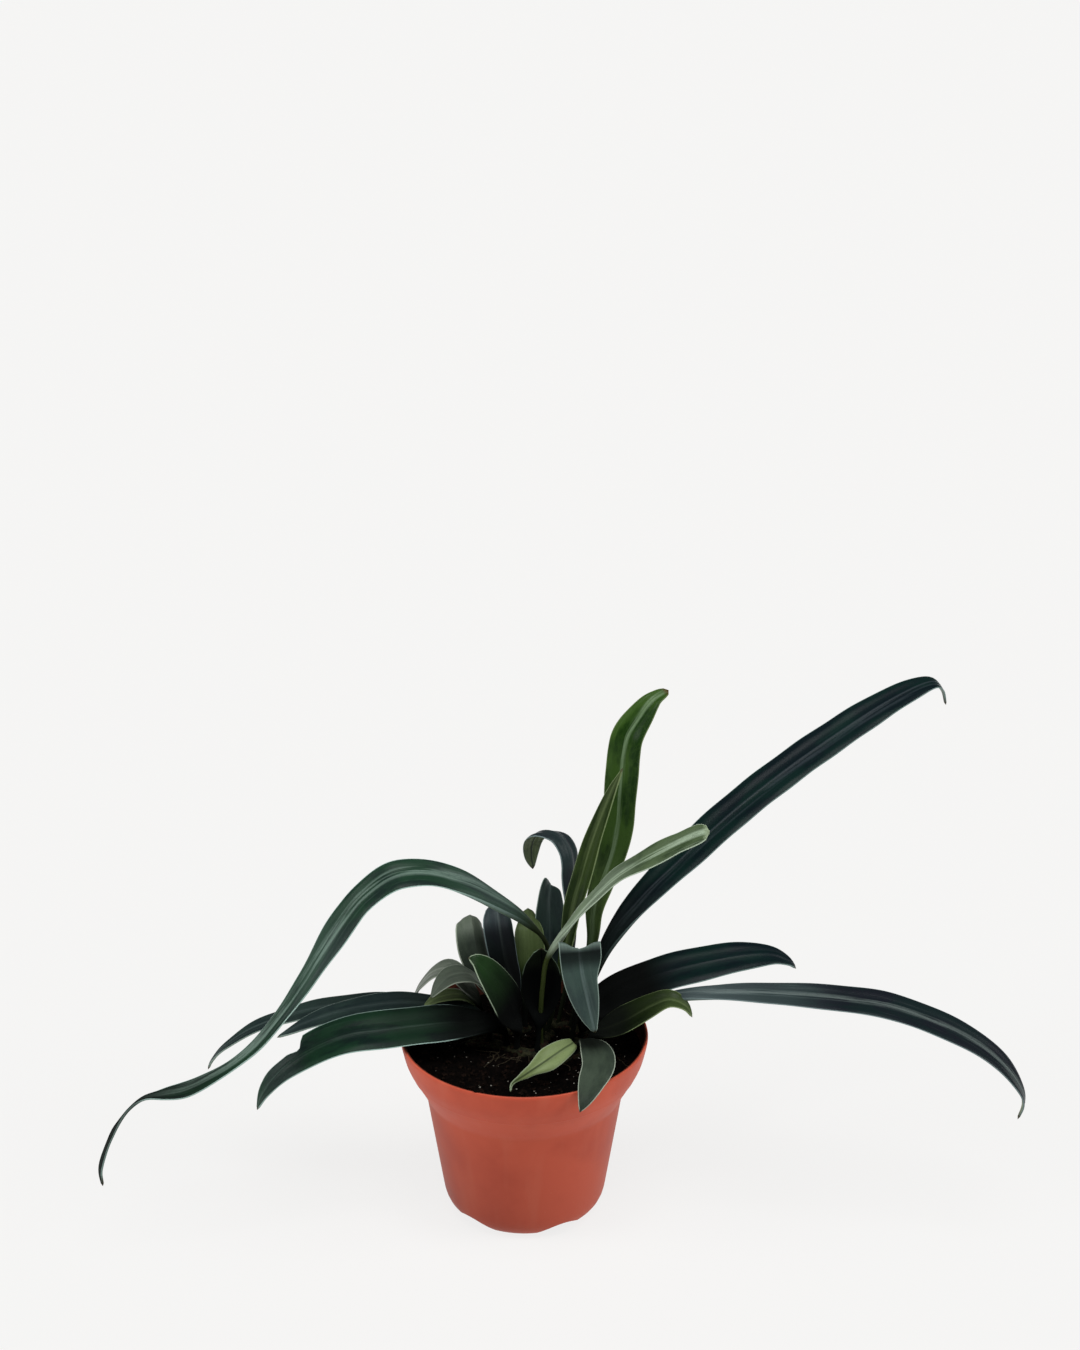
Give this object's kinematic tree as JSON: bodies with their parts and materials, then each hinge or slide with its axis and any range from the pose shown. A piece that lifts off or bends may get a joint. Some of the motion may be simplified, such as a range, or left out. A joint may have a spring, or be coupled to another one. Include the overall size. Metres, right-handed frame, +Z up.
{
  "type": "potted blue oil fern",
  "caption": "Strap-leaved fern with long arching and upright fronds rising from creeping rhizomes, in a round flared nursery pot of soil that stands on its flat foot.",
  "frame": {"origin": "centre of the flat foot of the pot, on the surface it stands on", "axes": "+Z up, front of the plant towards -Y, +X to the right as seen from the front"},
  "size_m": [0.4394, 0.1848, 0.2515],
  "materials": {
    "terracotta_plastic": "satin moulded plastic",
    "potting_mix": "matt crumbly peat mix",
    "rhizome_skin": "matt scaly skin",
    "frond_navy": "satin leaf, blue-black",
    "frond_deep_green": "satin leaf, deep green",
    "frond_young_green": "satin leaf, fresh green",
    "frond_sage_green": "satin leaf, pale sage",
    "frond_grey_blue": "satin leaf, grey blue"
  },
  "bodies": {
    "root": {"pot": "terracotta_plastic", "soil": "potting_mix", "rhizome_front_left": "rhizome_skin", "rhizome_back_left": "rhizome_skin", "rhizome_front_right": "rhizome_skin", "rhizome_back_right": "rhizome_skin", "frond_tall_right": "frond_navy", "frond_upright_green": "frond_young_green", "frond_upright_slim": "frond_young_green", "frond_sage": "frond_sage_green", "frond_long_left": "frond_deep_green", "frond_curled_back": "frond_grey_blue", "frond_back_centre": "frond_grey_blue", "frond_back_left": "frond_grey_blue", "frond_back_dark": "frond_navy", "frond_back_olive": "frond_sage_green", "frond_arch_outer_left": "frond_sage_green", "frond_arch_inner_left": "frond_grey_blue", "frond_small_left": "frond_young_green", "frond_inner_left": "frond_deep_green", "frond_low_front_left": "frond_deep_green", "frond_low_middle_left": "frond_navy", "frond_low_back_left": "frond_navy", "frond_broad_right": "frond_navy", "frond_long_right": "frond_navy", "frond_small_right": "frond_young_green", "frond_folded_front": "frond_grey_blue", "frond_over_rim": "frond_grey_blue", "frond_small_front": "frond_sage_green", "frond_inner_dark": "frond_navy"}
  },
  "joints": []
}
